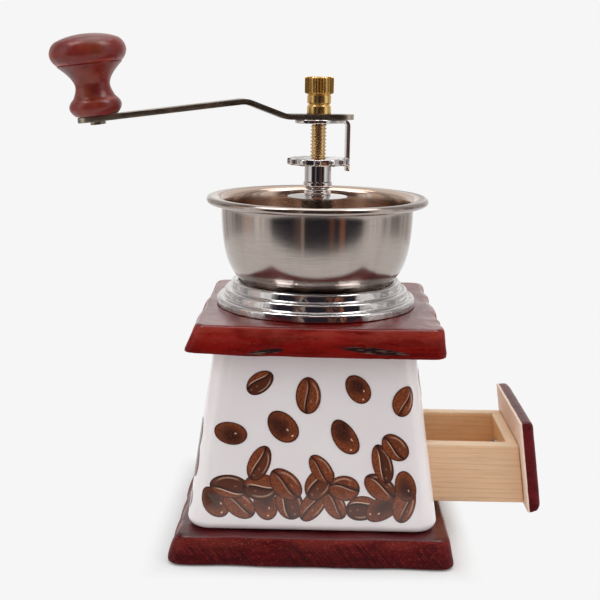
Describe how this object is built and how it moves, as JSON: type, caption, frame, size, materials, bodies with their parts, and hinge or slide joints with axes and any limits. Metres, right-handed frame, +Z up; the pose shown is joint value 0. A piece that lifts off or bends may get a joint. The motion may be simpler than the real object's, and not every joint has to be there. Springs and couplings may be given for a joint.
{
  "type": "burr coffee grinder",
  "caption": "Hand-cranked coffee grinder: open steel bowl, conical burr mill, printed ceramic body between wooden boards, side drawer and crank with a turned knob.",
  "frame": {"origin": "centre of the base board's underside, on the spindle's axis", "axes": "+Z up along the spindle; +X towards the drawer; -Y is the front face; the crank points towards -X at rest, turned 14 degrees towards -Y"},
  "size_m": [0.192, 0.11, 0.1974],
  "materials": {
    "stained_wood": "red-brown stain under satin lacquer",
    "panel_wood": "red-brown stain outside, plain sanded wood inside",
    "plain_wood": "plain sanded softwood",
    "glazed_ceramic": "white glaze with printed coffee beans",
    "brushed_steel": "spun and brushed stainless",
    "chrome": "bright plated",
    "dark_steel": "dark nickel-plated strip",
    "zinc_steel": "zinc-plated",
    "brass": "machined",
    "burr_iron": "as cast, teeth ground"
  },
  "bodies": {
    "frame": {"base_plate": "stained_wood", "ceramic_body": "glazed_ceramic", "top_plate": "stained_wood", "tie_bolts": "zinc_steel", "tie_washers": "zinc_steel", "tie_inserts": "brass", "drawer_runners": "plain_wood", "stepped_flange": "chrome", "flange_screws": "zinc_steel", "hopper_bowl": "brushed_steel", "bearing_bridge": "chrome", "bridge_screws": "zinc_steel", "bowl_disc": "chrome", "bearing_collar": "chrome", "outer_burr": "burr_iron"},
    "spindle_set": {"spindle": "brass", "inner_burr": "burr_iron", "burr_washer": "zinc_steel", "burr_nut": "zinc_steel", "feed_spring": "zinc_steel", "spring_washer": "zinc_steel", "adjusting_wheel": "chrome"},
    "crank": {"crank_arm": "dark_steel", "lock_bracket": "chrome", "knob_pin": "dark_steel"},
    "cap_nut": {"thumb_nut": "brass"},
    "knob": {"crank_knob": "stained_wood", "knob_bush": "zinc_steel"},
    "drawer": {"drawer_front_panel": "panel_wood", "drawer_inner_front": "plain_wood", "drawer_side_near": "plain_wood", "drawer_side_far": "plain_wood", "drawer_back": "plain_wood", "drawer_bottom": "plain_wood", "drawer_panel_screws": "zinc_steel"}
  },
  "joints": [
    {"name": "crank_turn", "type": "hinge", "parent": "frame", "child": "spindle_set", "pos_m": [0, 0, 0.14], "axis": [0, 0, 1], "continuous": true},
    {"name": "arm_lift", "type": "slide", "parent": "spindle_set", "child": "crank", "axis": [0, 0, 1], "range_m": [0, 0.0075]},
    {"name": "cap_nut_turn", "type": "hinge", "parent": "crank", "child": "cap_nut", "pos_m": [0, 0, 0.175], "axis": [0, 0, 1], "range_deg": [0, 1800]},
    {"name": "knob_spin", "type": "hinge", "parent": "crank", "child": "knob", "pos_m": [-0.08345, -0.02081, 0.16541], "axis": [-0.1182, -0.0295, 0.9925], "continuous": true},
    {"name": "drawer_slide", "type": "slide", "parent": "frame", "child": "drawer", "axis": [1, 0, 0], "range_m": [-0.037, 0.024]}
  ],
  "couplings": [
    {"joint": "cap_nut_turn", "follows": "arm_lift", "rad_per_m": 4188.8}
  ]
}
